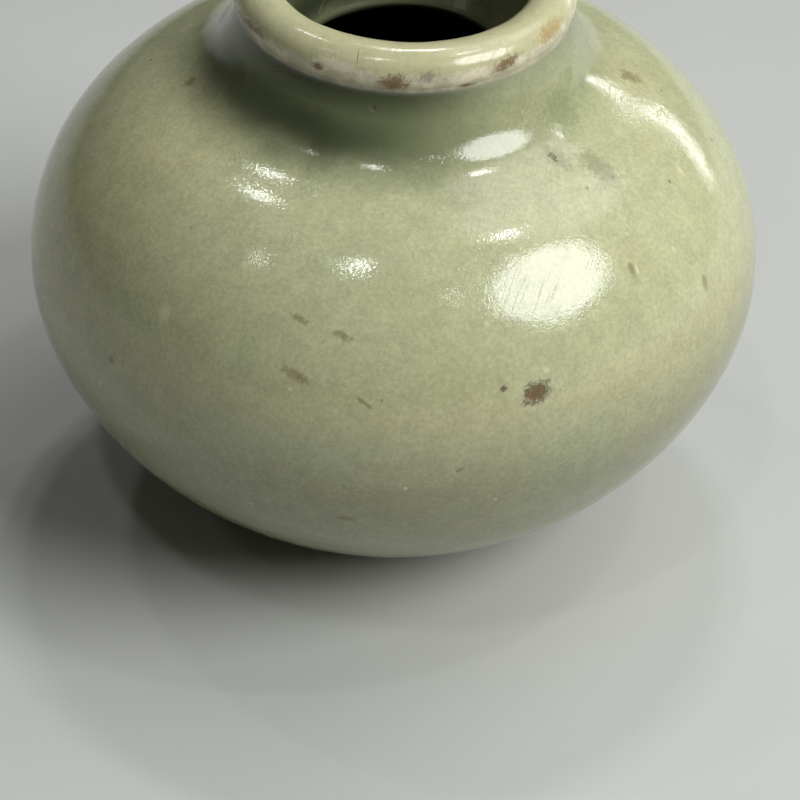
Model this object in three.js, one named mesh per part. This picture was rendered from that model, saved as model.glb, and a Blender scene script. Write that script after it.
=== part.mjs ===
// A small celadon water pot: a wide squat body, a sloping shoulder, a short flared neck and a rolled lip.
// It is thrown in three pieces that are luted together with slip, then glazed inside and out.
// Millimetres, +Z up, with the foot ring's bearing face on z = 0. A rise is a height above the belly.
import * as THREE from 'three';

// Outside of the glazed body
const bellyRadius = 45;
const bowlDepth = 36.1;
const bowlPower = 1.71;
const shoulderHeight = 32.5;
const shoulderPower = 2.17;
const shoulderEdgeRadius = 35;
const shoulderTopRadius = 28.2;
const shoulderTopRise = 24.95;
const shoulderTopSlope = Math.tan(THREE.MathUtils.degToRad(17.5));

// Foot ring and the recess inside it
const footRadius = 18;
const footHeight = 2;
const footWidth = 4;
const footBevel = 0.5;
const footWaist = 0.4;
const wellDepth = 3.6;
const wellCorner = 1.2;
const glazeLineHeight = 1.2;

// Neck and lip, on the glaze
const neckWaistRadius = 22.2;
const neckWaistRise = 29;
const neckWaistSlope = Math.tan(THREE.MathUtils.degToRad(56));
const neckTopRadius = 19.55;
const neckTopRise = 35.45;
const neckTopSlope = Math.tan(THREE.MathUtils.degToRad(74));
const lipRadius = 17.3;
const lipHalfWidth = 2.8;
const lipHalfHeight = 2.55;
const lipRise = 37;
const lipUndersideAngle = -37;

// Throat and chamber, on the glaze
const throatRadius = 12;
const throatRise = 27.3;
const throatRound = 1.1;
const chamberHeight = 28.1;
const chamberPower = 1.63;
const chamberFloorPower = 2.8;

// Clay walls and glaze skins
const bellyWall = 4.6;
const floorThickness = 5;
const outerGlazeThickness = 0.45;
const innerGlazeThickness = 0.4;
const wellGlazeThickness = 0.35;

// Belly joint: a wedge of slip, narrow outside, with a bead wiped along it inside
const bellyJointRise = 5.2;
const bellyJointWidth = 1.2;
const beadRise = 6.4;
const beadHeight = 5;
const beadDepth = 0.8;

// Neck joint: slip fills the hollow at the foot of the neck and runs in to the chamber's ceiling
const neckJointInRadius = 16.5;
const neckJointInWidth = 2;

// The mouth sits a little off centre and leans, as the thrower left it
const mouthShift = new THREE.Vector2(1, -0.8);
const mouthLeanX = THREE.MathUtils.degToRad(0.8);
const mouthLeanY = THREE.MathUtils.degToRad(3.1);
const leanStartRise = 16;

const segments = 32;

// Heights that follow from the sizes above
const footAngle = Math.acos(footRadius / bellyRadius);
const bellyZ = footHeight + bowlDepth * Math.sin(footAngle) ** (2 / bowlPower);
const lipZ = bellyZ + lipRise;
const floorZ = wellDepth + floorThickness + innerGlazeThickness;
const chamberRadius = bellyRadius - outerGlazeThickness - bellyWall - innerGlazeThickness;

const point = (r, z) => new THREE.Vector2(r, z);

// Points along a full round curve. Angle 0 is the widest place, a quarter turn is the axis.
function roundCurve(radius, height, power, from, to, count) {
  const points = [];
  for (let i = 0; i <= count; i += 1) {
    const angle = from + ((to - from) * i) / count;
    const rise = Math.abs(Math.sin(angle)) ** (2 / power) * Math.sign(angle);
    points.push(point(radius * Math.cos(angle), bellyZ + height * rise));
  }
  return points;
}

// Points along the lip's section, with angles in degrees up from its outermost place
function lipArc(from, to, count) {
  const points = [];
  for (let i = 0; i <= count; i += 1) {
    const angle = THREE.MathUtils.degToRad(from + ((to - from) * i) / count);
    const r = lipRadius + lipHalfWidth * Math.cos(angle);
    points.push(point(r, lipZ + lipHalfHeight * Math.sin(angle)));
  }
  return points;
}

// Points of a curve that leaves start towards bend and reaches end from bend, without start
function bentLine(start, bend, end, count) {
  return new THREE.QuadraticBezierCurve(start, bend, end).getPoints(count).slice(1);
}

// Where two lines meet. Each is a point and how far the line rises for a millimetre inwards.
function meeting(p, slopeP, q, slopeQ) {
  const r = (q.y - p.y + q.x * slopeQ - p.x * slopeP) / (slopeQ - slopeP);
  return point(r, p.y + (p.x - r) * slopeP);
}

// The same line moved to the left of its direction
function offsetLine(points, distance) {
  return points.map((p, i) => {
    const before = points[Math.max(i - 1, 0)];
    const after = points[Math.min(i + 1, points.length - 1)];
    const along = after.clone().sub(before).normalize();
    return point(p.x - along.y * distance, p.y + along.x * distance);
  });
}

// Outer face of the glaze, from the glaze line on the foot up to the top of the lip
function outerFace() {
  const foot = [
    point(footRadius, glazeLineHeight),
    point(footRadius - footWaist, (glazeLineHeight + footHeight) / 2),
  ];
  const bowl = roundCurve(bellyRadius, bowlDepth, bowlPower, -footAngle, 0, 8);
  const edgeAngle = Math.acos(shoulderEdgeRadius / bellyRadius);
  const shoulder = roundCurve(bellyRadius, shoulderHeight, shoulderPower, 0, edgeAngle, 6);
  const [beforeEdge, edge] = shoulder.slice(-2);
  const edgeSlope = (edge.y - beforeEdge.y) / (beforeEdge.x - edge.x);
  const top = point(shoulderTopRadius, bellyZ + shoulderTopRise);
  const waist = point(neckWaistRadius, bellyZ + neckWaistRise);
  const crease = point(neckTopRadius, bellyZ + neckTopRise);
  const brow = meeting(edge, edgeSlope, top, shoulderTopSlope);
  const neckFoot = meeting(top, shoulderTopSlope, waist, neckWaistSlope);
  const neckBend = meeting(waist, neckWaistSlope, crease, neckTopSlope);
  return {
    body: [...foot, ...bowl, ...shoulder.slice(1), ...bentLine(edge, brow, top, 4)],
    hollow: bentLine(top, neckFoot, waist, 6),
    rim: [...bentLine(waist, neckBend, crease, 3), ...lipArc(lipUndersideAngle, 90, 7)],
  };
}

// Inner face of the glaze, from the top of the lip down the neck and round the chamber to its floor
function innerFace() {
  const lip = lipArc(90, 180, 5);
  const mouth = lip[lip.length - 1];
  const throat = point(throatRadius, bellyZ + throatRise);
  const neckBend = point(mouth.x, (mouth.y + throat.y) / 2);
  const throatAngle = Math.acos((throatRadius + throatRound) / chamberRadius);
  const ceiling = roundCurve(chamberRadius, chamberHeight, chamberPower, throatAngle, 0, 8);
  const floorDepth = bellyZ - floorZ;
  const floor = roundCurve(chamberRadius, floorDepth, chamberFloorPower, 0, -Math.PI / 2, 8);
  floor[floor.length - 1].x = 0;
  return {
    neck: [...lip, ...bentLine(mouth, neckBend, throat, 3)],
    chamber: [...ceiling, ...floor.slice(1)],
  };
}

// Both lines of glaze, and the clay that lies under them point by point
const outer = outerFace();
const inner = innerFace();
const outerGlaze = [...outer.body, ...outer.hollow, ...outer.rim];
const innerGlaze = [...inner.neck, ...inner.chamber];
const outerClay = offsetLine(outerGlaze, outerGlazeThickness);
const innerClay = offsetLine(innerGlaze, innerGlazeThickness);
const lipTop = point(lipRadius, lipZ + lipHalfHeight - outerGlazeThickness);
outerClay[0].y = glazeLineHeight;
outerClay[outerClay.length - 1] = lipTop;
innerClay[0] = lipTop;
innerClay[innerClay.length - 1].x = 0;

// Adds a point to a clay line where test changes sign, and its partner to the glaze line
function addCrossing(clay, glaze, test) {
  const i = clay.findIndex((p, k) => k > 0 && test(clay[k - 1]) * test(p) <= 0);
  const [before, after] = [clay[i - 1], clay[i]];
  const share = test(before) / (test(before) - test(after));
  const place = before.clone().lerp(after, share);
  glaze.splice(i, 0, glaze[i - 1].clone().lerp(glaze[i], share));
  clay.splice(i, 0, place);
  return place;
}

const atHeight = (z) => (p) => p.y - z;
const onCeiling = (r) => (p) => (p.y < bellyZ + throatRise ? p.x - r : -1);

// Where the belly joint meets the clay's two faces
const jointZ = bellyZ + bellyJointRise;
const beadZ = bellyZ + beadRise;
const bowlRimOut = addCrossing(outerClay, outerGlaze, atHeight(jointZ - bellyJointWidth / 2));
const domeRimOut = addCrossing(outerClay, outerGlaze, atHeight(jointZ + bellyJointWidth / 2));
const domeRimIn = addCrossing(innerClay, innerGlaze, atHeight(beadZ + beadHeight / 2));
addCrossing(innerClay, innerGlaze, atHeight(beadZ + beadHeight / 4));
addCrossing(innerClay, innerGlaze, atHeight(beadZ - beadHeight / 4));
const bowlRimIn = addCrossing(innerClay, innerGlaze, atHeight(beadZ - beadHeight / 2));

// The bead stands out of the wall into the chamber, and the glaze follows it
for (let i = innerClay.indexOf(domeRimIn); i <= innerClay.indexOf(bowlRimIn); i += 1) {
  const out = beadDepth * Math.cos(((innerClay[i].y - beadZ) / beadHeight) * Math.PI) ** 2;
  innerClay[i].x -= out;
  innerGlaze[i].x -= out;
}

// Where the neck joint meets them: over the hollow outside, and on the chamber's ceiling inside
const neckRimOut = outerClay[outerGlaze.indexOf(outer.hollow[1])];
const collarFootOut = outerClay[outerGlaze.indexOf(outer.hollow[4])];
const neckJointEdge = neckJointInRadius + neckJointInWidth;
const collarFootIn = addCrossing(innerClay, innerGlaze, onCeiling(neckJointInRadius));
const neckRimIn = addCrossing(innerClay, innerGlaze, onCeiling(neckJointEdge));

// A stretch of a line between two of its points, both included
function stretch(points, from, to) {
  return points.slice(points.indexOf(from), points.indexOf(to) + 1);
}

const closed = (points) => [...points, points[0]];

// Two pieces run along a shared face in opposite ways. Each facet is split by the line that leaves
// its lower point, whichever way the profile runs, so that both pieces have the same triangles.
function splitFacets(geometry, profile) {
  const index = [];
  const count = profile.length;
  const isLower = (p, q) => p.y < q.y || (p.y === q.y && p.x < q.x);
  for (let i = 0; i < segments; i += 1) {
    for (let j = 0; j < count - 1; j += 1) {
      const a = j + i * count;
      const b = a + count;
      const c = b + 1;
      const d = a + 1;
      if (isLower(profile[j], profile[j + 1])) {
        index.push(a, b, d, c, d, b);
      } else {
        index.push(a, b, c, a, c, d);
      }
    }
  }
  geometry.setIndex(index);
}

// Moves and leans everything near the mouth, more towards the top, and all pieces alike
function leanWithMouth(geometry) {
  const places = geometry.attributes.position;
  for (let i = 0; i < places.count; i += 1) {
    const x = places.getX(i);
    const y = places.getY(i);
    const z = places.getZ(i);
    const share = THREE.MathUtils.smoothstep(z, bellyZ + leanStartRise, lipZ);
    const drop = x * Math.tan(mouthLeanX) - y * Math.tan(mouthLeanY);
    places.setXYZ(i, x + mouthShift.x * share, y + mouthShift.y * share, z - drop * share);
  }
}

// A named mesh of a profile turned about the axis
function turned(name, look, profile) {
  const geometry = new THREE.LatheGeometry(profile, segments);
  splitFacets(geometry, profile);
  geometry.rotateX(Math.PI / 2);
  leanWithMouth(geometry);
  geometry.computeVertexNormals();
  const mesh = new THREE.Mesh(geometry, new THREE.MeshStandardMaterial(look));
  mesh.name = name;
  return mesh;
}

const clayLook = { color: 0x9c9588, roughness: 0.85, metalness: 0 };
const slipLook = { color: 0xb0a896, roughness: 0.85, metalness: 0 };
const glazeLook = { color: 0xa9ae84, roughness: 0.2, metalness: 0 };

// The recess inside the foot ring, from its middle out to where its glaze ends
const footInside = footRadius - footWidth;
const wellLine = [
  point(0, wellDepth),
  point(footInside - footWaist - wellCorner, wellDepth),
  point(footInside - footWaist, wellDepth - wellCorner),
  point(footInside, glazeLineHeight),
];

// Thrown lower half, with the foot ring that is turned out of its base
function lowerBowl() {
  const footOutside = footRadius - outerGlazeThickness;
  const bearing = [
    point(footInside, footBevel),
    point(footInside + footBevel, 0),
    point(footOutside - footBevel, 0),
    point(footOutside, footBevel),
  ];
  const outside = outerClay.slice(0, outerClay.indexOf(bowlRimOut) + 1);
  const inside = innerClay.slice(innerClay.indexOf(bowlRimIn));
  return turned('lower_bowl', clayLook, [...wellLine, ...bearing, ...outside, ...inside]);
}

// Slip between the two halves
function bellyLute() {
  const outside = stretch(outerClay, bowlRimOut, domeRimOut);
  const inside = stretch(innerClay, domeRimIn, bowlRimIn);
  return turned('belly_lute', slipLook, closed([...outside, ...inside]));
}

// Thrown upper half, open at the top for the collar
function shoulderDome() {
  const outside = stretch(outerClay, domeRimOut, neckRimOut);
  const inside = stretch(innerClay, neckRimIn, domeRimIn);
  return turned('shoulder_dome', clayLook, closed([...outside, ...inside]));
}

// Slip between the shoulder and the collar
function neckLute() {
  const outside = stretch(outerClay, neckRimOut, collarFootOut);
  const inside = stretch(innerClay, collarFootIn, neckRimIn);
  return turned('neck_lute', slipLook, closed([...outside, ...inside]));
}

// Thrown collar with its rolled lip
function neckCollar() {
  const outside = stretch(outerClay, collarFootOut, lipTop);
  const inside = stretch(innerClay, lipTop, collarFootIn).slice(1);
  return turned('neck_collar', clayLook, closed([...outside, ...inside]));
}

// Glaze outside, from the foot to the top of the lip
function outerSkin() {
  const back = [...outerClay].reverse();
  return turned('outer_glaze', glazeLook, closed([...outerGlaze, ...back]));
}

// Glaze inside, from the top of the lip to the chamber's floor
function innerSkin() {
  const back = [...innerClay].reverse();
  return turned('inner_glaze', glazeLook, [...back, ...innerGlaze]);
}

// Glaze in the recess of the foot ring
function wellSkin() {
  const lowered = wellLine.slice(0, -1).map((p) => {
    const r = Math.max(p.x - wellGlazeThickness, 0);
    return point(r, p.y - wellGlazeThickness);
  });
  const edge = point(footInside - wellGlazeThickness, glazeLineHeight);
  const back = [...wellLine].reverse();
  return turned('foot_well_glaze', glazeLook, [...lowered, edge, ...back]);
}

const waterPot = new THREE.Group();
waterPot.name = 'celadon_water_pot';
waterPot.add(lowerBowl(), bellyLute(), shoulderDome(), neckLute(), neckCollar());
waterPot.add(outerSkin(), innerSkin(), wellSkin());

export default waterPot;
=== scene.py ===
import math

import bpy
import numpy as np
from mathutils import Matrix, Vector


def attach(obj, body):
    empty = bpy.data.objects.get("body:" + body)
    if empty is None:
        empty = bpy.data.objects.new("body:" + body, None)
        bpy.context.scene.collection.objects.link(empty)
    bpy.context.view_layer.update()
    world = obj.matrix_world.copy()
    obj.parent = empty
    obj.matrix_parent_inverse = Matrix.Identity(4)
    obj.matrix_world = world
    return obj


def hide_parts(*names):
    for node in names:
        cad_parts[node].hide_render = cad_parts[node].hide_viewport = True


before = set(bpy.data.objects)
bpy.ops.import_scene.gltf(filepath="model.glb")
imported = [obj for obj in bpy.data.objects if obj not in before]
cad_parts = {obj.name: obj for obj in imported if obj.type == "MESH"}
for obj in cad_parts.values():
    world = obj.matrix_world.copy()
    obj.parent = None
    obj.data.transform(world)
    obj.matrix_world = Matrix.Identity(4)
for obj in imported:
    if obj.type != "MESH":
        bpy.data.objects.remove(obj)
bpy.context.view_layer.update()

# Camera, in metres and degrees, fitted to the pot's outline and to the shadows on the floor
FIELD_OF_VIEW = 18.0
CAMERA_DISTANCE = 0.3315
CAMERA_ELEVATION = 37.3
CAMERA_ROLL = 0.82
CAMERA_TARGET = Vector((0.00107, 0.0, 0.01032))

# The pot's sizes in millimetres, as in the part's source. A rise is a height above the belly.
MILLIMETRE = 0.001
BELLY_RADIUS = 45.0
BOWL_DEPTH = 36.1
BOWL_POWER = 1.71
SHOULDER_HEIGHT = 32.5
SHOULDER_POWER = 2.17
SHOULDER_EDGE_RADIUS = 35.0
SHOULDER_TOP_RADIUS = 28.2
SHOULDER_TOP_RISE = 24.95
SHOULDER_TOP_SLOPE = math.tan(math.radians(17.5))
FOOT_RADIUS = 18.0
FOOT_HEIGHT = 2.0
FOOT_WIDTH = 4.0
FOOT_BEVEL = 0.5
FOOT_WAIST = 0.4
WELL_DEPTH = 3.6
WELL_CORNER = 1.2
GLAZE_LINE_HEIGHT = 1.2
NECK_WAIST_RADIUS = 22.2
NECK_WAIST_RISE = 29.0
NECK_WAIST_SLOPE = math.tan(math.radians(56))
NECK_TOP_RADIUS = 19.55
NECK_TOP_RISE = 35.45
NECK_TOP_SLOPE = math.tan(math.radians(74))
LIP_RADIUS = 17.3
LIP_HALF_WIDTH = 2.8
LIP_HALF_HEIGHT = 2.55
LIP_RISE = 37.0
LIP_UNDERSIDE_ANGLE = -37.0
THROAT_RADIUS = 12.0
THROAT_RISE = 27.3
THROAT_ROUND = 1.1
CHAMBER_HEIGHT = 28.1
CHAMBER_POWER = 1.63
CHAMBER_FLOOR_POWER = 2.8
BELLY_WALL = 4.6
FLOOR_THICKNESS = 5.0
OUTER_GLAZE_THICKNESS = 0.45
INNER_GLAZE_THICKNESS = 0.4
WELL_GLAZE_THICKNESS = 0.35
BELLY_JOINT_RISE = 5.2
MOUTH_SHIFT = (1.0, -0.8)
MOUTH_LEAN_X = math.tan(math.radians(0.8))
MOUTH_LEAN_Y = math.tan(math.radians(3.1))
LEAN_START_RISE = 16.0

# The clay lies this close under the glaze, so no dent goes deeper
DEEPEST_DENT = -0.33

# Heights and radii that follow from these
FOOT_ANGLE = math.acos(FOOT_RADIUS / BELLY_RADIUS)
BELLY_Z = FOOT_HEIGHT + BOWL_DEPTH * math.sin(FOOT_ANGLE) ** (2 / BOWL_POWER)
LIP_Z = BELLY_Z + LIP_RISE
FLOOR_Z = WELL_DEPTH + FLOOR_THICKNESS + INNER_GLAZE_THICKNESS
CHAMBER_RADIUS = BELLY_RADIUS - OUTER_GLAZE_THICKNESS - BELLY_WALL - INNER_GLAZE_THICKNESS

# Mesh density: columns round the pot, and the spacing of rows along its outline
COLUMNS = 400
CLAY_COLUMNS = 256
ROW_SPACING = 0.42
CHAMBER_SPACING = 1.6
BACK_SPACING = 3.0
WELL_SPACING = 0.35
RING_SPACING = 0.25
CLAY_SPACING = 1.5
WALL_SPACING = 2.5

# The outline is first laid out with points this far apart, then eased this many times
OUTLINE_STEP = 0.1
OUTLINE_EASING = 140
OUTLINE_LAST_EASING = 12
NECK_EASING = 40

# Where the bowl's clay lies under its glazes, and how high it reaches outside and inside
OUTER_CLAY_GAP = 0.02
INNER_CLAY_GAP = 0.05
BOWL_EDGE_RISE = 4.5
BOWL_INNER_EDGE_RISE = 4.0


def superellipse(radius, height, power, start, end, count):
    """Points along a full round curve. Angle 0 is the widest place, a quarter turn the axis."""
    angle = np.linspace(start, end, count)
    rise = np.abs(np.sin(angle)) ** (2 / power) * np.sign(angle)
    return np.stack([radius * np.cos(angle), BELLY_Z + height * rise], 1)


def lip_arc(start, end, count):
    """Points along the lip's section, with angles in degrees up from its outermost place."""
    angle = np.radians(np.linspace(start, end, count))
    r = LIP_RADIUS + LIP_HALF_WIDTH * np.cos(angle)
    return np.stack([r, LIP_Z + LIP_HALF_HEIGHT * np.sin(angle)], 1)


def bent_line(start, bend, end, count):
    """A curve that leaves start towards bend and reaches end from bend."""
    t = np.linspace(0, 1, count)[:, None]
    start, bend, end = (np.array(p, float) for p in (start, bend, end))
    return (1 - t) ** 2 * start + 2 * t * (1 - t) * bend + t**2 * end


def meeting(p, slope_p, q, slope_q):
    """Where two lines meet. Each is a point and how far the line rises for a millimetre inwards."""
    r = (q[1] - p[1] + q[0] * slope_q - p[0] * slope_p) / (slope_q - slope_p)
    return (r, p[1] + (p[0] - r) * slope_p)


def joined(*lines):
    """Lines laid end to end, with each shared point kept once."""
    kept = [lines[0]] + [line[1:] for line in lines[1:]]
    return np.concatenate(kept)


def lengths(line):
    """Distance along a line from its start to each of its points."""
    steps = np.hypot(*np.diff(line, axis=0).T)
    return np.concatenate([[0.0], np.cumsum(steps)])


def spaced(line, spacing):
    """The same line with evenly spaced points."""
    along = lengths(line)
    count = max(int(round(along[-1] / spacing)), 2)
    at = np.linspace(0, along[-1], count + 1)
    return np.stack([np.interp(at, along, line[:, 0]), np.interp(at, along, line[:, 1])], 1)


def eased(line, passes, hold):
    """The line with its changes of curvature softened, apart from where hold is 1."""
    line = line.copy()
    free = 0.5 * (1 - hold[1:-1, None])
    for _ in range(passes):
        line[1:-1] += free * ((line[:-2] + line[2:]) / 2 - line[1:-1])
    return line


def smooth_step(x, low, high):
    t = np.clip((x - low) / (high - low), 0, 1)
    return t * t * (3 - 2 * t)


def outer_line():
    """Outer face of the glaze, from the glaze line on the foot up to the top of the lip."""
    foot = bent_line(
        (FOOT_RADIUS, GLAZE_LINE_HEIGHT),
        (FOOT_RADIUS - 2 * FOOT_WAIST, (GLAZE_LINE_HEIGHT + FOOT_HEIGHT) / 2),
        (FOOT_RADIUS, FOOT_HEIGHT),
        20,
    )
    bowl = superellipse(BELLY_RADIUS, BOWL_DEPTH, BOWL_POWER, -FOOT_ANGLE, 0, 400)
    edge_angle = math.acos(SHOULDER_EDGE_RADIUS / BELLY_RADIUS)
    shoulder = superellipse(BELLY_RADIUS, SHOULDER_HEIGHT, SHOULDER_POWER, 0, edge_angle, 300)
    edge = shoulder[-1]
    run = shoulder[-1] - shoulder[-2]
    top = (SHOULDER_TOP_RADIUS, BELLY_Z + SHOULDER_TOP_RISE)
    waist = (NECK_WAIST_RADIUS, BELLY_Z + NECK_WAIST_RISE)
    crease = (NECK_TOP_RADIUS, BELLY_Z + NECK_TOP_RISE)
    brow = meeting(edge, -run[1] / run[0], top, SHOULDER_TOP_SLOPE)
    neck_foot = meeting(top, SHOULDER_TOP_SLOPE, waist, NECK_WAIST_SLOPE)
    neck_bend = meeting(waist, NECK_WAIST_SLOPE, crease, NECK_TOP_SLOPE)
    body = joined(
        foot,
        bowl,
        shoulder,
        bent_line(edge, brow, top, 60),
        bent_line(top, neck_foot, waist, 120),
        bent_line(waist, neck_bend, crease, 30),
    )
    lip = lip_arc(LIP_UNDERSIDE_ANGLE, 90, 160)
    line = spaced(joined(body, lip), OUTLINE_STEP)
    low = 1 - smooth_step(line[:, 1], FOOT_HEIGHT + 0.5, FOOT_HEIGHT + 4)
    high = smooth_step(line[:, 1], crease[1] - 1.5, crease[1] - 0.6)
    line = eased(line, OUTLINE_EASING, np.maximum(low, high))
    return eased(line, OUTLINE_LAST_EASING, np.zeros(len(line)))


def neck_inner_line():
    """Inner face of the glaze, from the top of the lip down to the throat."""
    lip = lip_arc(90, 180, 100)
    mouth = lip[-1]
    throat = (THROAT_RADIUS, BELLY_Z + THROAT_RISE)
    bend = (mouth[0], (mouth[1] + throat[1]) / 2)
    line = spaced(joined(lip, bent_line(mouth, bend, throat, 80)), OUTLINE_STEP)
    return eased(line, NECK_EASING, np.zeros(len(line)))


def chamber_line():
    """Inner face of the glaze round the chamber, from the throat to the middle of its floor."""
    throat = np.array([[THROAT_RADIUS, BELLY_Z + THROAT_RISE]])
    throat_angle = math.acos((THROAT_RADIUS + THROAT_ROUND) / CHAMBER_RADIUS)
    ceiling = superellipse(
        CHAMBER_RADIUS, CHAMBER_HEIGHT, CHAMBER_POWER, throat_angle, 0, 200
    )
    floor = superellipse(
        CHAMBER_RADIUS, BELLY_Z - FLOOR_Z, CHAMBER_FLOOR_POWER, 0, -math.pi / 2, 200
    )
    floor[-1, 0] = 0
    return np.concatenate([throat, ceiling, floor[1:]])


def lattice_noise(points, size, seed):
    """Smooth noise from -1 to 1 with features of about that size, the same on every run."""
    table = np.random.RandomState(seed).uniform(-1, 1, (32, 32, 32))
    cell = np.asarray(points) / size
    low = np.floor(cell).astype(int)
    part = cell - low
    part = part * part * (3 - 2 * part)
    total = 0.0
    for corner in range(8):
        step = np.array([corner & 1, corner >> 1 & 1, corner >> 2 & 1])
        index = (low + step) % 32
        share = np.prod(np.where(step == 1, part, 1 - part), axis=-1)
        total = total + share * table[index[..., 0], index[..., 1], index[..., 2]]
    return total


# Unevenness of the hand-made surface: height and size in millimetres, and the seed of its noise
BODY_UNEVENNESS = ((0.06, 17.0, 11), (0.025, 7.0, 12))
LIP_UNEVENNESS = ((0.07, 5.0, 21), (0.03, 2.0, 22))
FOOT_GRAIN = ((0.03, 0.9, 31), (0.05, 4.0, 32))
WELL_UNEVENNESS = ((0.10, 5.0, 41), (0.03, 1.6, 42))

# The bare clay of the foot lies this much deeper
FOOT_SINK = 0.02

# How far the body is out of round, in two and in three directions, and the lip in one and in four
BODY_OVAL = 0.06
BODY_THREE_SIDED = 0.04
LIP_THICK_SIDE = 0.10
LIP_FOUR_SIDED = 0.04

# Turning rings, and the seam at the belly joint
RING_HEIGHT = 0.004
RING_PACE = 2.1
SEAM_HEIGHT = 0.04
SEAM_HALF_WIDTH = 1.5
SEAM_NOISE_SIZE = 9.0
SEAM_SEED = 14


def unevenness(places, layers):
    return sum(height * lattice_noise(places, size, seed) for height, size, seed in layers)


# Uneven places of the thrown surface: azimuth in degrees from +X, rise, half length round the
# pot, half length along the outline, tilt in degrees, and how far it stands out, in millimetres
SWELLS = (
    ("neck_drip", -24.0, 30.6, 0.7, 0.6, 0.0, 0.30),
    ("neck_foot_bead", -39.4, 27.1, 0.70, 0.60, 0.0, 0.32),
    ("left_flat", -140.0, 12.0, 9.0, 7.0, 0.0, -0.12),
    ("back_press", 95.0, 20.0, 8.0, 3.5, -15.0, -0.22),
    ("iron_pit", -68.5, 8.0, 1.3, 1.0, 0.0, -0.14),
    ("iron_pit_edge", -66.0, 9.6, 1.0, 0.7, 0.0, 0.06),
)


def swells(angle, radius, rise):
    """How far the uneven places move the surface outwards."""
    out = np.zeros_like(radius)
    for _, azimuth, at, around, along, tilt, height in SWELLS:
        turn = (angle - math.radians(azimuth) + math.pi) % (2 * math.pi) - math.pi
        x = turn * radius
        y = rise - at
        cosine, sine = math.cos(math.radians(tilt)), math.sin(math.radians(tilt))
        u = (cosine * x + sine * y) / around
        v = (cosine * y - sine * x) / along
        out += height * np.exp(-0.5 * (u * u + v * v))
    return out


def relief(places, angle, radius, rise):
    """How far the hand-made surface stands out from the turned outline, in millimetres."""
    on_body = smooth_step(rise, -30, -22) * (1 - smooth_step(rise, 32, 35))
    on_lip = smooth_step(rise, LIP_RISE - 2.0, LIP_RISE - 1.0)
    wobble = BODY_OVAL * np.cos(2 * angle + 0.7) + BODY_THREE_SIDED * np.cos(3 * angle - 1.2)
    slow = unevenness(places, BODY_UNEVENNESS)
    rings = RING_HEIGHT * np.sin(rise * RING_PACE + 0.8 * np.sin(angle))
    seam_rise = rise - BELLY_JOINT_RISE - 0.6 * np.sin(angle - 0.4)
    seam = SEAM_HEIGHT * np.exp(-0.5 * (seam_rise / SEAM_HALF_WIDTH) ** 2)
    seam *= 0.6 + 0.4 * lattice_noise(places, SEAM_NOISE_SIZE, SEAM_SEED)
    body = on_body * (wobble + slow + rings + seam + swells(angle, radius, rise))
    out_of_round = LIP_THICK_SIDE * np.cos(angle + 2.3) + LIP_FOUR_SIDED * np.cos(4 * angle + 0.4)
    lip = on_lip * (out_of_round + unevenness(places, LIP_UNEVENNESS))
    return np.maximum(body + lip, DEEPEST_DENT)


def leaned(places):
    """Moves and leans everything near the mouth, as the part's source does."""
    x, y, z = places[..., 0], places[..., 1], places[..., 2]
    share = smooth_step(z, BELLY_Z + LEAN_START_RISE, LIP_Z)
    drop = x * MOUTH_LEAN_X - y * MOUTH_LEAN_Y
    return np.stack(
        [x + MOUTH_SHIFT[0] * share, y + MOUTH_SHIFT[1] * share, z - drop * share], -1
    )


def swept(line, columns, reliefs=None):
    """The points of a line turned about the axis, as rows of columns, moved by its relief."""
    angle = np.linspace(0, 2 * math.pi, columns, endpoint=False) + math.pi / 2
    radius = np.repeat(line[:, :1], columns, 1)
    height = np.repeat(line[:, 1:], columns, 1)
    turn = np.repeat(angle[None, :], len(line), 0)
    places = np.stack([radius * np.cos(turn), radius * np.sin(turn), height], -1)
    if reliefs is not None:
        run = np.gradient(line, axis=0)
        run /= np.maximum(np.hypot(*run.T), 1e-9)[:, None]
        out = reliefs(places, turn, radius, height - BELLY_Z)
        places[..., 0] += out * run[:, 1:] * np.cos(turn)
        places[..., 1] += out * run[:, 1:] * np.sin(turn)
        places[..., 2] -= out * run[:, :1]
    return leaned(places)


def grid_normals(places):
    """Outward normals of a swept grid whose line runs anticlockwise round its section."""
    along = np.gradient(places, axis=0)
    around = np.roll(places, -1, 1) - np.roll(places, 1, 1)
    normal = np.cross(around, along)
    size = np.linalg.norm(normal, axis=-1, keepdims=True)
    return normal / np.maximum(size, 1e-12)


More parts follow.
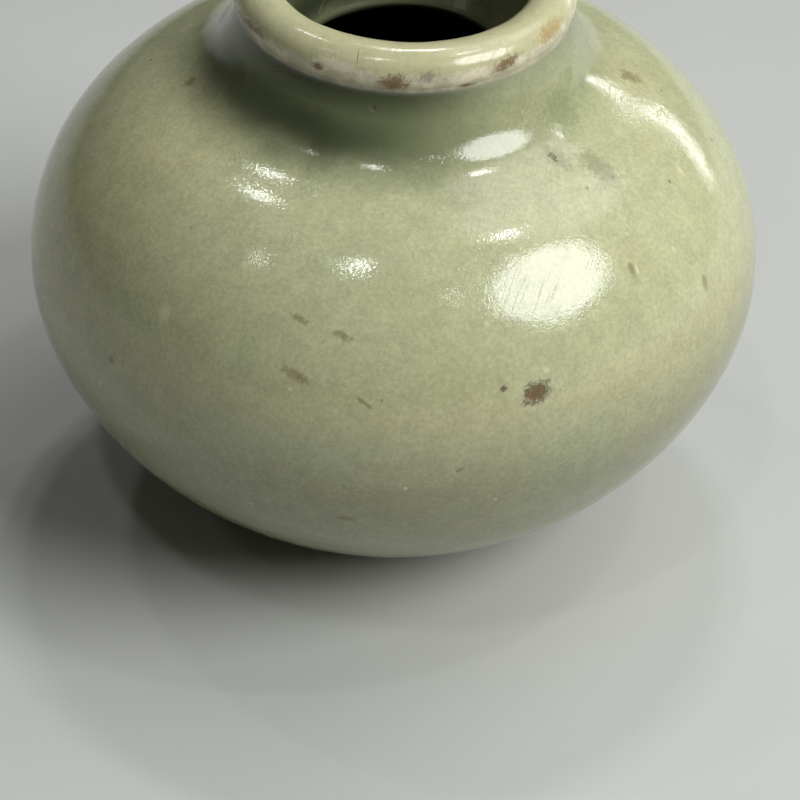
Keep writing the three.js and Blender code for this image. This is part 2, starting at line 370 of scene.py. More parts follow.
def closed_mesh(name, grids, on_axis=False):
    """A closed mesh from grids of rows that follow each other round a section.
    Each grid is (places, normals). With on_axis the first and last rows are single points."""
    columns = grids[0][0].shape[1]
    places = np.concatenate([g[0] for g in grids]) * MILLIMETRE
    normals = np.concatenate([g[1] for g in grids])
    rows = len(places)
    index = np.arange(rows * columns).reshape(rows, columns)
    first_row, end_row = (1, rows - 2) if on_axis else (0, rows)
    faces = []
    for i in range(first_row, end_row):
        j = i + 1 if i + 1 < rows else 0
        a, b = index[i], index[j]
        faces.append(np.stack([a, np.roll(a, -1), np.roll(b, -1), b], 1))
    quads = np.concatenate(faces)
    if not on_axis:
        verts = places.reshape(-1, 3)
        tips = []
        vert_normals = normals.reshape(-1, 3)
    else:
        body = places[1:-1].reshape(-1, 3)
        verts = np.concatenate([body, places[0, :1], places[-1, :1]])
        vert_normals = np.concatenate(
            [normals[1:-1].reshape(-1, 3), normals[0, :1], normals[-1, :1]]
        )
        quads -= columns
        first, last = len(body), len(body) + 1
        ring = np.arange(columns)
        top = ring + (rows - 3) * columns
        tips = [(first, int((k + 1) % columns), int(k)) for k in ring]
        tips += [(int(top[k]), int(top[(k + 1) % columns]), last) for k in ring]
    mesh = bpy.data.meshes.new(name)
    mesh.from_pydata(verts.tolist(), [], quads.tolist() + tips)
    mesh.update()
    mesh.shade_smooth()
    mesh.normals_split_custom_set_from_vertices(vert_normals.tolist())
    piece = bpy.data.objects.new(name, mesh)
    bpy.context.scene.collection.objects.link(piece)
    return piece


def offset_line(line, distance):
    """The line moved to its left, inside the section, by a distance at each point."""
    run = np.gradient(line, axis=0)
    run /= np.maximum(np.hypot(*run.T), 1e-9)[:, None]
    distance = np.broadcast_to(distance, (len(line),))[:, None]
    return line + distance * np.stack([-run[:, 1], run[:, 0]], 1)


def thinned(line, spacing):
    """Some of a line's points, with both ends kept."""
    along = lengths(line)
    count = max(int(round(along[-1] / spacing)), 2)
    at = np.searchsorted(along, np.linspace(0, along[-1], count + 1))
    return line[np.unique(np.clip(at, 0, len(line) - 1))]


def glaze_edge(places, angle, radius, rise):
    """The relief of the outside, with the rounded lower edge where the glaze stopped."""
    above = rise + BELLY_Z - GLAZE_LINE_HEIGHT
    reach = 0.5
    missing = 1 - np.sqrt(np.clip(1 - (1 - np.clip(above / reach, 0, 1)) ** 2, 0, 1))
    return relief(places, angle, radius, rise) - 0.9 * OUTER_GLAZE_THICKNESS * missing


def make_glaze():
    """The outer and the inner glaze, each a closed skin, as one surface over the lip."""
    outer = spaced(outer_line(), ROW_SPACING)
    neck = spaced(neck_inner_line(), ROW_SPACING)
    chamber = spaced(chamber_line(), CHAMBER_SPACING)
    whole = joined(outer, neck, chamber)
    front = swept(whole, COLUMNS, glaze_edge)
    normals = grid_normals(front)
    crest = len(outer)
    outer_back = thinned(offset_line(outer, OUTER_GLAZE_THICKNESS), BACK_SPACING)[::-1]
    inner_line = joined(neck, chamber)
    inner_back = thinned(offset_line(inner_line, INNER_GLAZE_THICKNESS), BACK_SPACING)[::-1]
    inner_back[0, 0] = 0
    outer_back[0] = (LIP_RADIUS, LIP_Z + LIP_HALF_HEIGHT - OUTER_GLAZE_THICKNESS)
    inner_back[-1] = outer_back[0]
    back = swept(outer_back, COLUMNS)
    outside = closed_mesh(
        "glaze_outside",
        [(front[:crest], normals[:crest]), (back, grid_normals(back))],
    )
    back = swept(inner_back, COLUMNS)
    inside = closed_mesh(
        "glaze_inside",
        [(back, grid_normals(back)), (front[crest - 1 :], normals[crest - 1 :])],
        on_axis=True,
    )
    return outside, inside


def well_line():
    """The clay's face in the recess of the foot ring, from the middle out to the glaze line."""
    inside = FOOT_RADIUS - FOOT_WIDTH
    waist = inside - FOOT_WAIST
    corner_start = (waist - 1.6 * WELL_CORNER, WELL_DEPTH)
    corner_end = (waist, WELL_DEPTH - 1.4 * WELL_CORNER)
    line = joined(
        np.array([(0.0, WELL_DEPTH), corner_start]),
        bent_line(corner_start, (waist, WELL_DEPTH), corner_end, 12),
        np.array([corner_end, (inside, GLAZE_LINE_HEIGHT)]),
    )
    return spaced(line, WELL_SPACING)


def make_bowl(well):
    """The thrown lower half, with its foot ring."""
    inside = FOOT_RADIUS - FOOT_WIDTH
    outside = FOOT_RADIUS - OUTER_GLAZE_THICKNESS
    ring = joined(
        np.array([(inside, GLAZE_LINE_HEIGHT), (inside, FOOT_BEVEL)]),
        bent_line((inside, FOOT_BEVEL), (inside, 0), (inside + FOOT_BEVEL, 0), 8),
        np.array([(inside + FOOT_BEVEL, 0.0), (outside - FOOT_BEVEL, 0.0)]),
        bent_line((outside - FOOT_BEVEL, 0), (outside, 0), (outside, FOOT_BEVEL), 8),
        np.array([(outside, FOOT_BEVEL), (outside, GLAZE_LINE_HEIGHT)]),
    )
    clay = offset_line(spaced(outer_line(), 0.3), OUTER_GLAZE_THICKNESS + OUTER_CLAY_GAP)
    above_ring = clay[:, 1] > GLAZE_LINE_HEIGHT + 0.2
    clay = clay[above_ring & (clay[:, 1] < BELLY_Z + BOWL_EDGE_RISE)]
    wall = offset_line(spaced(chamber_line(), 0.5), INNER_GLAZE_THICKNESS + INNER_CLAY_GAP)
    past_throat = np.arange(len(wall)) > 3
    wall = wall[past_throat & (wall[:, 1] < BELLY_Z + BOWL_INNER_EDGE_RISE)]
    wall[-1, 0] = 0
    clay = thinned(clay, CLAY_SPACING)
    wall = thinned(wall, WALL_SPACING)
    line = np.concatenate([well[:-1], spaced(ring, RING_SPACING), clay, wall])
    grid = swept(line, CLAY_COLUMNS, clay_relief)
    return closed_mesh("bowl_clay", [(grid, grid_normals(grid))], on_axis=True)


def clay_relief(places, angle, radius, rise):
    """The grain and turning marks of the bare foot."""
    low = 1 - smooth_step(rise + BELLY_Z, 1.2, 1.9)
    return low * (unevenness(places, FOOT_GRAIN) - FOOT_SINK)


def make_well_glaze(well):
    """The glaze in the recess of the foot ring."""
    front = offset_line(well, -WELL_GLAZE_THICKNESS)
    front[:, 0] = np.maximum(front[:, 0], 0)
    front[-1, 1] = GLAZE_LINE_HEIGHT
    front[0, 0] = 0
    back = thinned(well, 2.0)[::-1].copy()
    back[-1, 0] = 0
    front_grid = swept(front, CLAY_COLUMNS, well_relief)
    back_grid = swept(back, CLAY_COLUMNS)
    return closed_mesh(
        "glaze_in_foot",
        [(front_grid, grid_normals(front_grid)), (back_grid, grid_normals(back_grid))],
        on_axis=True,
    )


def well_relief(places, angle, radius, rise):
    """The glaze in the recess lies a little unevenly."""
    inside = smooth_step(radius, 0, 2) * (1 - smooth_step(radius, 11, 13))
    return inside * unevenness(places, WELL_UNEVENNESS)


class Graph:
    """Short ways to add and join nodes in a material."""

    def __init__(self, material):
        self.nodes = material.node_tree.nodes
        self.links = material.node_tree.links
        self.shader = self.nodes["Principled BSDF"]
        where = self.nodes.new("ShaderNodeTexCoord")
        self.place = self.vector("MULTIPLY", where.outputs["Object"], (1000, 1000, 1000))

    def put(self, socket, value):
        """Links a socket, or sets it to a plain value."""
        if isinstance(value, bpy.types.NodeSocket):
            self.links.new(value, socket)
        else:
            socket.default_value = value

    def vector(self, operation, a, b):
        node = self.nodes.new("ShaderNodeVectorMath")
        node.operation = operation
        self.put(node.inputs[0], a)
        self.put(node.inputs[1], b)
        return node.outputs["Value" if operation in ("LENGTH", "DOT_PRODUCT") else "Vector"]

    def math(self, operation, a, b=0.0):
        node = self.nodes.new("ShaderNodeMath")
        node.operation = operation
        self.put(node.inputs[0], a)
        self.put(node.inputs[1], b)
        return node.outputs[0]

    def step(self, value, low, high, out_low=0.0, out_high=1.0):
        """A smooth change from out_low to out_high as value goes from low to high."""
        node = self.nodes.new("ShaderNodeMapRange")
        node.interpolation_type = "SMOOTHSTEP"
        for name, number in (("Value", value), ("From Min", low), ("From Max", high)):
            self.put(node.inputs[name], number)
        self.put(node.inputs["To Min"], out_low)
        self.put(node.inputs["To Max"], out_high)
        return node.outputs["Result"]

    def noise(self, size, detail=3.0, rough=0.5, distort=0.0, place=None, shift=0.0):
        """Noise from 0 to 1 with features of about that size in millimetres."""
        node = self.nodes.new("ShaderNodeTexNoise")
        source = self.place if place is None else place
        if shift:
            source = self.vector("ADD", source, (shift, -shift, 2 * shift))
        self.put(node.inputs["Vector"], source)
        node.inputs["Scale"].default_value = 1.0 / size
        node.inputs["Detail"].default_value = detail
        node.inputs["Roughness"].default_value = rough
        node.inputs["Distortion"].default_value = distort
        return node.outputs["Fac"]

    def cells(self, size):
        """Distance to the nearest of scattered points, and that point's own random colour."""
        node = self.nodes.new("ShaderNodeTexVoronoi")
        self.put(node.inputs["Vector"], self.place)
        node.inputs["Scale"].default_value = 1.0 / size
        return node.outputs["Distance"], node.outputs["Color"]

    def within(self, place, first, outward, second, sizes):
        """Place seen from a spot, along three directions and in units of three sizes."""
        node = self.nodes.new("ShaderNodeMapping")
        node.vector_type = "TEXTURE"
        self.put(node.inputs["Vector"], self.place)
        node.inputs["Location"].default_value = place
        turn = Matrix((first, outward, second)).transposed().to_euler("XYZ")
        node.inputs["Rotation"].default_value = turn
        node.inputs["Scale"].default_value = sizes
        return node.outputs["Vector"]

    def scaled(self, colour, share):
        """The colour made lighter or darker."""
        node = self.nodes.new("ShaderNodeVectorMath")
        node.operation = "SCALE"
        self.put(node.inputs[0], colour)
        self.put(node.inputs["Scale"], share)
        return node.outputs["Vector"]

    def between(self, value, low, high, soft):
        """1 where value lies from low to high, with soft edges."""
        rise = self.step(value, low - soft, low + soft)
        fall = self.step(value, high + soft, high - soft)
        return self.math("MULTIPLY", rise, fall)

    def blend(self, share, a, b):
        """Colour a, with b over it where share is 1."""
        node = self.nodes.new("ShaderNodeMix")
        node.data_type = "RGBA"
        self.put(node.inputs["Factor"], share)
        self.put(node.inputs["A"], a)
        self.put(node.inputs["B"], b)
        return node.outputs["Result"]

    def parts(self, value):
        node = self.nodes.new("ShaderNodeSeparateXYZ")
        self.put(node.inputs[0], value)
        return node.outputs

    def bump(self, height, distance, strength=1.0, normal=None):
        """A bump whose height of 1 stands out by distance, in metres."""
        node = self.nodes.new("ShaderNodeBump")
        self.put(node.inputs["Strength"], strength)
        node.inputs["Distance"].default_value = distance
        self.put(node.inputs["Height"], height)
        if normal is not None:
            self.put(node.inputs["Normal"], normal)
        return node.outputs["Normal"]


def new_material(name):
    material = bpy.data.materials.new(name)
    material.use_nodes = True
    return material, Graph(material)


def linear(red, green, blue):
    """A linear colour from one given as it looks, from 0 to 255."""
    values = []
    for value in (red, green, blue):
        value /= 255
        values.append(value / 12.92 if value <= 0.04045 else ((value + 0.055) / 1.055) ** 2.4)
    return (*values, 1.0)


GLAZE_BODY = linear(193, 197, 155)
GLAZE_WARM = linear(195, 192, 149)
GLAZE_GREEN = linear(188, 193, 153)
GLAZE_POOL_AND_SHADE = linear(108, 117, 84)
GLAZE_LIP = linear(204, 200, 159)
GLAZE_PAINTED_SHADE = linear(48, 52, 34)
BODY_PINK = linear(238, 228, 204)
BODY_LILAC = linear(204, 192, 176)
IRON_BROWN = linear(104, 74, 38)
PALE_SPECK = linear(224, 218, 176)
CLAY_PALE = linear(176, 150, 120)
CLAY_DARK = linear(150, 124, 98)
SLIP_PALE = linear(190, 168, 140)
SLIP_DARK = linear(168, 146, 118)
FLOOR_GREY = linear(200, 203, 199)
FLOOR_PALE = linear(206, 208, 204)

# Sizes of the patterns in the glaze, in millimetres
CLOUD_SIZE = 22.0
PATCH_SIZE = 8.0
SPOT_SIZE = 2.6
MOTTLE_SIZE = 0.55
SPECK_SPACING = 3.2
MARK_EDGE_SIZE = 0.55
LIP_EDGE_SIZE = 1.9
ORANGE_PEEL_SIZE = 1.5
SPARKLE_SIZE = 0.35
GLOSS_SIZE = 1.4
SCRATCH_SIZE = (9.0, 0.8, 0.10)
SCRATCHED_PLACE_SIZE = 4.0

# How far the glaze stands out or sinks in, in metres
ORANGE_PEEL_HEIGHT = 0.000012
SPARKLE_HEIGHT = 0.000018
SCRATCH_HEIGHT = 0.000020
PIT_DEPTH = 0.00010

GLAZE_IOR = 1.58
CHAMBER_ROUGHNESS = 0.35

# Kinds of mark: colour, and how much of it shows
MARK_KINDS = {
    "iron": (IRON_BROWN, 0.9),
    "brown": (linear(118, 92, 50), 0.5),
    "dark": (linear(78, 72, 50), 0.5),
    "grey": (linear(118, 118, 88), 0.45),
    "green": (linear(112, 124, 86), 0.3),
    "pale": (linear(228, 220, 176), 0.7),
    "stain": (linear(116, 82, 34), 0.88),
    "orange": (linear(176, 138, 84), 0.6),
    "lilac": (linear(140, 128, 116), 0.7),
    "cream": (linear(238, 230, 202), 0.8),
}

# Marks in the glaze, one of them a painted glint: kind, place in millimetres, half length, half
# width, tilt in degrees
MARKS = (
    ("iron", (16.1, -40.8, 42.6), 1.5, 1.2, 30.0),
    ("iron", (12.4, -41.7, 43.8), 0.45, 0.3, 0.0),
    ("brown", (36.0, -23.0, 45.7), 0.6, 0.9, 0.0),
    ("brown", (-10.4, -41.7, 45.2), 1.7, 0.6, -15.0),
    ("brown", (-10.0, -38.6, 50.6), 1.0, 0.3, -20.0),
    ("brown", (-5.3, -40.2, 49.6), 1.0, 0.35, -15.0),
    ("brown", (-3.0, -43.6, 43.2), 1.3, 0.25, -35.0),
    ("brown", (-4.9, -42.6, 25.7), 1.0, 0.5, 0.0),
    ("brown", (-32.1, -31.0, 39.1), 0.6, 0.5, 0.0),
    ("brown", (7.8, -44.3, 34.4), 0.5, 0.3, 30.0),
    ("brown", (27.7, -0.6, 59.7), 1.1, 0.6, 0.0),
    ("brown", (-24.1, -5.6, 61.0), 0.8, 0.5, 0.0),
    ("grey", (18.3, -19.2, 59.9), 1.3, 0.9, -20.0),
    ("dark", (18.0, -19.4, 60.0), 0.35, 0.3, -20.0),
    ("dark", (-2.4, -20.7, 66.9), 0.35, 0.3, 0.0),
    ("brown", (26.9, -28.9, 51.1), 0.5, 0.8, 0.0),
    ("grey", (23.4, -19.2, 58.4), 1.6, 1.5, -35.0),
    ("green", (18.9, -13.3, 62.9), 2.6, 2.0, 0.0),
    ("pale", (17.2, -39.5, 44.9), 0.4, 0.35, 0.0),
    ("pale", (-25.5, -33.3, 47.3), 0.7, 1.0, 0.0),
    ("pale", (33.2, -13.8, 54.9), 0.35, 0.6, 0.0),
    ("pale", (32.0, -23.7, 50.6), 0.3, 0.35, 0.0),
    # This pale mark is a painted glint beside the pit
    ("pale", (27.5, -28.4, 51.0), 0.26, 0.45, 0.0),
    ("stain", (-16.6, -10.4, 71.5), 3.6, 0.5, 0.0),
    ("stain", (-8.6, -18.5, 70.8), 0.8, 0.5, 0.0),
    ("stain", (-0.1, -20.8, 70.2), 1.6, 1.0, 0.0),
    ("stain", (12.1, -17.5, 70.8), 2.0, 0.7, 12.0),
    ("stain", (7.9, -19.2, 69.1), 1.1, 0.25, 0.0),
    ("orange", (17.5, -11.8, 71.8), 2.6, 0.8, 8.0),
    ("lilac", (3.6, -20.7, 70.8), 1.2, 0.7, 0.0),
    ("cream", (-6.6, -19.3, 71.5), 2.4, 0.6, -6.0),
    ("cream", (8.6, -18.9, 70.4), 2.6, 0.7, 6.0),
    ("stain", (-4.1, -19.3, 72.5), 0.06, 0.6, 0.0),
)

# Scratches run this way over the front of the shoulder, whose face looks along the second one
SCRATCH_WAY = Vector((0.31, 0.75, 0.585)).normalized()
SCRATCHED_FACE = Vector((0.363, -0.642, 0.675))


def mark_shares(g, ragged):
    """Where each kind of mark is, from 0 to 1: uneven patches about places on the surface."""
    nearest = {}
    for kind, place, long, wide, tilt in MARKS:
        azimuth = math.atan2(place[1], place[0])
        outward = Vector((math.cos(azimuth), math.sin(azimuth), 0))
        around = Vector((-outward.y, outward.x, 0))
        lean = math.radians(tilt)
        first = around * math.cos(lean) + Vector((0, 0, math.sin(lean)))
        second = first.cross(outward)
        deep = 2.5 * max(long, wide)
        seen = g.within(place, first, outward, second, (long, deep, wide))
        away = g.vector("LENGTH", seen, (0, 0, 0))
        nearest[kind] = g.math("MINIMUM", nearest[kind], away) if kind in nearest else away
    return {
        kind: g.step(g.math("ADD", away, ragged), 1.35, 0.45) for kind, away in nearest.items()
    }


def body_colour(g, z, patch):
    """The glaze on the body: greyish green, in places a little warmer, most at the belly joint, with
    painted shade darkening its lower part.
    """
    cloud = g.noise(CLOUD_SIZE, 2.0, 0.5, 0.6)
    colour = g.blend(g.step(cloud, 0.42, 0.68, 0.0, 0.6), GLAZE_BODY, GLAZE_WARM)
    colour = g.blend(g.step(patch, 0.5, 0.75, 0.0, 0.6), colour, GLAZE_GREEN)
    band = g.between(z, BELLY_Z + 4.0, BELLY_Z + 9.0, 2.0)
    colour = g.blend(g.math("MULTIPLY", band, g.step(patch, 0.3, 0.6, 0.3, 0.9)), colour, GLAZE_WARM)
    mottle = g.step(g.noise(MOTTLE_SIZE, 3.0, 0.75), 0.25, 0.75, 0.86, 1.11)
    spots = g.step(g.noise(SPOT_SIZE, 3.0, 0.6, shift=5.0), 0.3, 0.7, 0.93, 1.04)
    # Painted shade: the colour darkens towards the bottom of the body, down to 0.58 of itself
    uneven = g.math("ADD", z, g.math("MULTIPLY", patch, 6.0))
    painted_lower_shade = g.step(uneven, BELLY_Z - 5.0, BELLY_Z + 16.0, 0.58, 1.0)
    shade = g.math("MULTIPLY", g.math("MULTIPLY", mottle, spots), painted_lower_shade)
    return g.scaled(colour, shade)


def above_lip(g):
    """The place seen from the lip's middle, and its height over the leaning plane of the lip."""
    seen = g.vector("SUBTRACT", g.place, (MOUTH_SHIFT[0], MOUTH_SHIFT[1], LIP_Z))
    return seen, g.vector("DOT_PRODUCT", seen, (MOUTH_LEAN_X, -MOUTH_LEAN_Y, 1.0))


def neck_pool_and_painted_shade(g, colour, x, patch):
    """Darkens the hollow of the neck, most on its left and under the lip: partly glaze pooled thick
    there, partly painted shade.
    """
    _, up = above_lip(g)
    uneven = g.math("ADD", up, g.math("MULTIPLY", g.math("SUBTRACT", patch, 0.5), 2.5))
    under_lip = g.step(up, -0.9, -1.7)
    share = g.math("MULTIPLY", g.step(uneven, -12.0, -7.5), under_lip)
    colour = g.blend(g.math("MULTIPLY", share, g.step(x, -2.0, 15.0, 0.95, 0.4)), colour, GLAZE_POOL_AND_SHADE)
    # Painted shade in the crease under the lip and the groove at the neck's foot, darker on the
    # left, over some real pooling
    crease = g.math("MULTIPLY", g.step(up, -5.5, -2.0), g.step(x, 0.0, 14.0, 0.55, 0.15))
    groove = g.math("MULTIPLY", g.between(uneven, -8.8, -5.5, 1.4), g.step(x, 4.0, -10.0, 0.0, 0.55))
    pool_and_painted_shade = g.math("MULTIPLY", g.math("MAXIMUM", crease, groove), under_lip)
    pool_and_painted_shade = g.math("MULTIPLY", pool_and_painted_shade, g.step(x, -20.0, -8.0, 0.2, 1.0))
    return g.scaled(colour, g.math("SUBTRACT", 1.0, pool_and_painted_shade))


def lip_colour(g, colour):
    """The lip: olive glaze on top with a ragged lower edge, and a worn stained band below it.
    Returns the colour, and how much of the lip's olive and of its worn band there is."""
    seen, up = above_lip(g)
    flat = g.vector("LENGTH", g.vector("MULTIPLY", seen, (1, 1, 0)), (0, 0, 0))
    out = g.math("SUBTRACT", flat, LIP_RADIUS)
    # Painted shade: the neck's inner wall inside the mouth is darkened, by up to 0.55
    inside = g.math("MULTIPLY", g.step(out, -2.4, -3.6, 0.0, 0.55), g.step(up, -14.0, -12.0))
    colour = g.scaled(colour, g.math("SUBTRACT", 1.0, inside))
    high = g.math("DIVIDE", up, LIP_HALF_HEIGHT)
    turn = g.math("ARCTAN2", high, g.math("DIVIDE", out, LIP_HALF_WIDTH))
    ragged = g.noise(LIP_EDGE_SIZE, 5.0, 0.7, 0.8, shift=9.0)
    edge = g.math("ADD", g.math("MULTIPLY", g.math("SUBTRACT", ragged, 0.5), 1.5), 0.16)
    above = g.math("SUBTRACT", turn, edge)
    on_lip = g.math("MULTIPLY", g.step(up, -2.1, -1.5), g.step(out, -3.6, -2.9))
    olive = g.math("MULTIPLY", g.step(above, -0.06, 0.06), on_lip)
    cover = g.step(g.noise(1.6, 3.0, 0.6, shift=17.0), 0.35, 0.62, 0.3, 0.85)
    colour = g.blend(g.math("MULTIPLY", olive, cover), colour, GLAZE_LIP)
    patch = g.noise(SPOT_SIZE, 4.0, 0.65, shift=13.0)
    bare = g.blend(g.step(patch, 0.4, 0.6), BODY_PINK, BODY_LILAC)
    worn = g.math("MULTIPLY", g.between(above, -1.2, 0.0, 0.05), on_lip)
    colour = g.blend(g.math("MULTIPLY", worn, g.step(patch, 0.2, 0.55, 0.85, 0.6)), colour, bare)
    line = g.math("MULTIPLY", g.between(above, -0.1, 0.0, 0.06), on_lip)
    line = g.math("MULTIPLY", line, g.step(g.noise(3.5, 4.0, 0.7, shift=21.0), 0.5, 0.62))
    return g.blend(g.math("MULTIPLY", line, 0.65), colour, IRON_BROWN), olive, worn


def glaze_material():
    material, g = new_material("celadon_glaze")
    x, _, z = g.parts(g.place)
    patch = g.noise(PATCH_SIZE, 3.0, 0.55, 0.8, shift=7.0)
    colour = body_colour(g, z, patch)
    colour = neck_pool_and_painted_shade(g, colour, x, patch)

    # Small iron specks and pale ones
    speck, tone = g.cells(SPECK_SPACING)
    red, green, blue = g.parts(tone)
    size = g.math("ADD", g.math("MULTIPLY", green, 0.05), 0.02)
    dot = g.step(speck, g.math("MULTIPLY", size, 1.6), size)
    brown = g.math("MULTIPLY", dot, g.step(red, 0.62, 0.66, 0.0, 0.5))
    pale = g.math("MULTIPLY", dot, g.step(blue, 0.6, 0.64, 0.0, 0.6))
    colour = g.blend(pale, g.blend(brown, colour, IRON_BROWN), PALE_SPECK)

    colour, olive, worn = lip_colour(g, colour)
    broken = g.noise(MARK_EDGE_SIZE, 4.0, 0.75, 1.0)
    ragged = g.math("MULTIPLY", g.math("SUBTRACT", broken, 0.5), 2.8)
    shares = mark_shares(g, ragged)
    for kind, (tint, amount) in MARK_KINDS.items():
        colour = g.blend(g.math("MULTIPLY", shares[kind], amount), colour, tint)
    g.put(g.shader.inputs["Base Color"], colour)

    # Gloss, duller where the lip is worn and in the pits
    pits = g.math("MAXIMUM", shares["iron"], shares["dark"])
    roughness = g.step(g.noise(GLOSS_SIZE, 4.0, 0.7, shift=4.0), 0.3, 0.75, 0.06, 0.13)
    dull = g.math("MAXIMUM", g.math("MULTIPLY", worn, 0.25), g.math("MULTIPLY", pits, 0.3))
    dull = g.math("MAXIMUM", dull, g.math("MULTIPLY", olive, 0.07))
    g.put(g.shader.inputs["Roughness"], g.math("ADD", roughness, dull))
    g.shader.inputs["IOR"].default_value = GLAZE_IOR

    # Orange peel, fine scratches where the glaze is worn, sparkle and pits
    normal = g.bump(g.noise(ORANGE_PEEL_SIZE, 2.0, 0.5, shift=2.0), ORANGE_PEEL_HEIGHT)
    across = SCRATCH_WAY.cross(SCRATCHED_FACE).normalized()
    outward = across.cross(SCRATCH_WAY)
    sideways = SCRATCH_WAY.cross(outward)
    along = g.within((0, 0, 0), SCRATCH_WAY, outward, sideways, SCRATCH_SIZE)
    scratch = g.step(g.noise(1.0, 1.0, 0.5, place=along), 0.63, 0.70)
    worn_place = g.step(g.noise(SCRATCHED_PLACE_SIZE, 2.0, 0.5, shift=31.0), 0.48, 0.62)
    normal = g.bump(scratch, SCRATCH_HEIGHT, strength=worn_place, normal=normal)
    normal = g.bump(g.noise(SPARKLE_SIZE, 2.0, 0.6), SPARKLE_HEIGHT, normal=normal)
    normal = g.bump(g.math("SUBTRACT", 1.0, pits), PIT_DEPTH, normal=normal)
    g.put(g.shader.inputs["Normal"], normal)
    return material


def chamber_material():
    """The glaze inside the chamber, painted dark as shade, darkest below the throat."""
    material, g = new_material("chamber_glaze")
    _, _, z = g.parts(g.place)
    # Painted shade: the chamber darkens below the throat
    deep = g.step(z, BELLY_Z + THROAT_RISE + 4.0, BELLY_Z + THROAT_RISE - 4.0)
    g.put(g.shader.inputs["Base Color"], g.blend(deep, GLAZE_POOL_AND_SHADE, GLAZE_PAINTED_SHADE))
    g.shader.inputs["Roughness"].default_value = CHAMBER_ROUGHNESS
    return material


def clay_material(name, body, dark):
    material, g = new_material(name)
    grain = g.noise(0.7, 5.0, 0.7)
    cloud = g.noise(6.0, 3.0, 0.5, shift=2.0)
    colour = g.blend(g.step(cloud, 0.35, 0.7), body, dark)
    colour = g.blend(g.step(grain, 0.58, 0.7, 0.0, 0.5), colour, IRON_BROWN)
    g.put(g.shader.inputs["Base Color"], colour)
    g.put(g.shader.inputs["Roughness"], g.step(grain, 0.3, 0.7, 0.72, 0.9))
    g.put(g.shader.inputs["Normal"], g.bump(grain, 0.00008))
    return material


def floor_material():
    material, g = new_material("floor_paper")
    fibre = g.noise(3.0, 4.0, 0.6)
    tone = g.noise(90.0, 2.0, 0.5)
    colour = g.blend(g.step(tone, 0.3, 0.7), FLOOR_GREY, FLOOR_PALE)
    g.put(g.shader.inputs["Base Color"], colour)
    g.put(g.shader.inputs["Normal"], g.bump(fibre, 0.00002))
    g.shader.inputs["Roughness"].default_value = 0.8
    g.shader.inputs["Specular IOR Level"].default_value = 0.2
    return material


def dress(piece, material, node):
    """Gives a piece its material, hangs it on the root, and hides the solid that it stands for."""
    piece.data.materials.append(material)
    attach(piece, "root")
    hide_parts(node)


def make_pot():
    glaze = glaze_material()
    clay = clay_material("fired_clay", CLAY_PALE, CLAY_DARK)
    slip = clay_material("fired_slip", SLIP_PALE, SLIP_DARK)
    chamber = chamber_material()
    for name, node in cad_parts.items():
        node.data.materials.clear()
        node.data.materials.append(
            glaze if "glaze" in name else slip if "lute" in name else clay
        )
    outside, inside = make_glaze()
    well = well_line()
    dress(outside, glaze, "outer_glaze")
    dress(inside, glaze, "inner_glaze")
    # The chamber's faces get the dark chamber glaze, which is painted shade
    inside.data.materials.append(chamber)
    chamber_top = (BELLY_Z + THROAT_RISE + 1.0) * MILLIMETRE
    for face in inside.data.polygons:
        if face.center.z < chamber_top:
            face.material_index = 1
    dress(make_well_glaze(well), glaze, "foot_well_glaze")
    dress(make_bowl(well), clay, "lower_bowl")


FLOOR_SIZE = 6.0
WORLD_STRENGTH = 0.01


def make_camera():
    data = bpy.data.cameras.new("camera")
    data.angle = math.radians(FIELD_OF_VIEW)
    camera = bpy.data.objects.new("camera", data)
    bpy.context.scene.collection.objects.link(camera)
    up = math.radians(CAMERA_ELEVATION)
    back = Vector((0, -math.cos(up), math.sin(up)))
    place = Matrix.Translation(CAMERA_TARGET + back * CAMERA_DISTANCE)
    turn = (-back).to_track_quat("-Z", "Y").to_matrix().to_4x4()
    roll = Matrix.Rotation(math.radians(CAMERA_ROLL), 4, "Z")
    camera.matrix_world = place @ turn @ roll
    bpy.context.scene.camera = camera


def make_floor():
    bpy.ops.mesh.primitive_plane_add(size=FLOOR_SIZE)
    floor = bpy.context.object
    floor.name = "floor"
    floor.data.materials.append(floor_material())


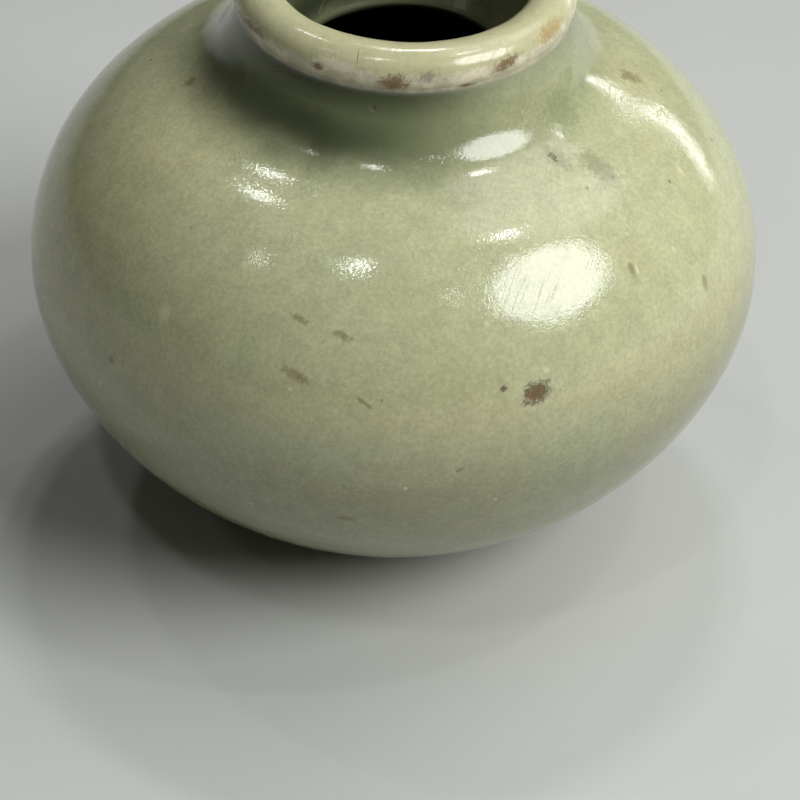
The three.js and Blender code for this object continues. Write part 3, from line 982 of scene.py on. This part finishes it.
# Lamps: azimuth in degrees from the front towards the right, elevation, distance in metres, width
# and height in metres, tilt in degrees, and how brightly a white card facing it is lit, from 0 to 1
LAMPS = (
    ("softbox", 60.0, 39.5, 1.0, 0.61, 0.58, 0.0, 0.78),
    ("back_light", 112.0, 60.0, 1.2, 0.80, 0.80, 0.0, 0.22),
    ("ceiling_front", -22.0, 66.0, 1.6, 0.075, 0.13, 0.0, 0.048),
    ("ceiling_right", 85.0, 68.0, 1.6, 0.06, 0.10, 0.0, 0.040),
    ("ceiling_back", 168.0, 64.0, 1.6, 0.10, 0.10, 0.0, 0.070),
    ("ceiling_back_right", 178.0, 64.0, 1.6, 0.10, 0.10, 0.0, 0.060),
    ("ceiling_back_left", -134.0, 61.5, 1.6, 0.08, 0.10, 0.0, 0.036),
    ("ceiling_left", -63.0, 53.0, 1.6, 0.05, 0.07, 0.0, 0.010),
    ("ceiling_front_right", 24.6, 50.0, 1.6, 0.05, 0.07, 0.0, 0.008),
    ("strip_right", 138.5, 17.0, 1.3, 0.030, 0.95, -31.0, 0.100),
)


def make_lights():
    world = bpy.data.worlds.new("world")
    bpy.context.scene.world = world
    world.use_nodes = True
    background = world.node_tree.nodes["Background"]
    background.inputs["Color"].default_value = (1, 1, 1, 1)
    background.inputs["Strength"].default_value = WORLD_STRENGTH
    aim = Vector((0, 0, BELLY_Z * MILLIMETRE))
    for name, azimuth, elevation, distance, width, height, tilt, level in LAMPS:
        a, e = math.radians(azimuth), math.radians(elevation)
        back = Vector((math.sin(a) * math.cos(e), -math.cos(a) * math.cos(e), math.sin(e)))
        data = bpy.data.lights.new(name, "AREA")
        data.shape = "ELLIPSE"
        data.size = width
        data.size_y = height
        data.energy = level * (math.pi * distance) ** 2
        light = bpy.data.objects.new(name, data)
        bpy.context.scene.collection.objects.link(light)
        turn = back.to_track_quat("Z", "Y").to_matrix().to_4x4()
        turn = turn @ Matrix.Rotation(math.radians(tilt), 4, "Z")
        light.matrix_world = Matrix.Translation(aim + back * distance) @ turn


make_camera()
make_pot()
make_floor()
make_lights()
bpy.context.scene.view_settings.view_transform = "Standard"
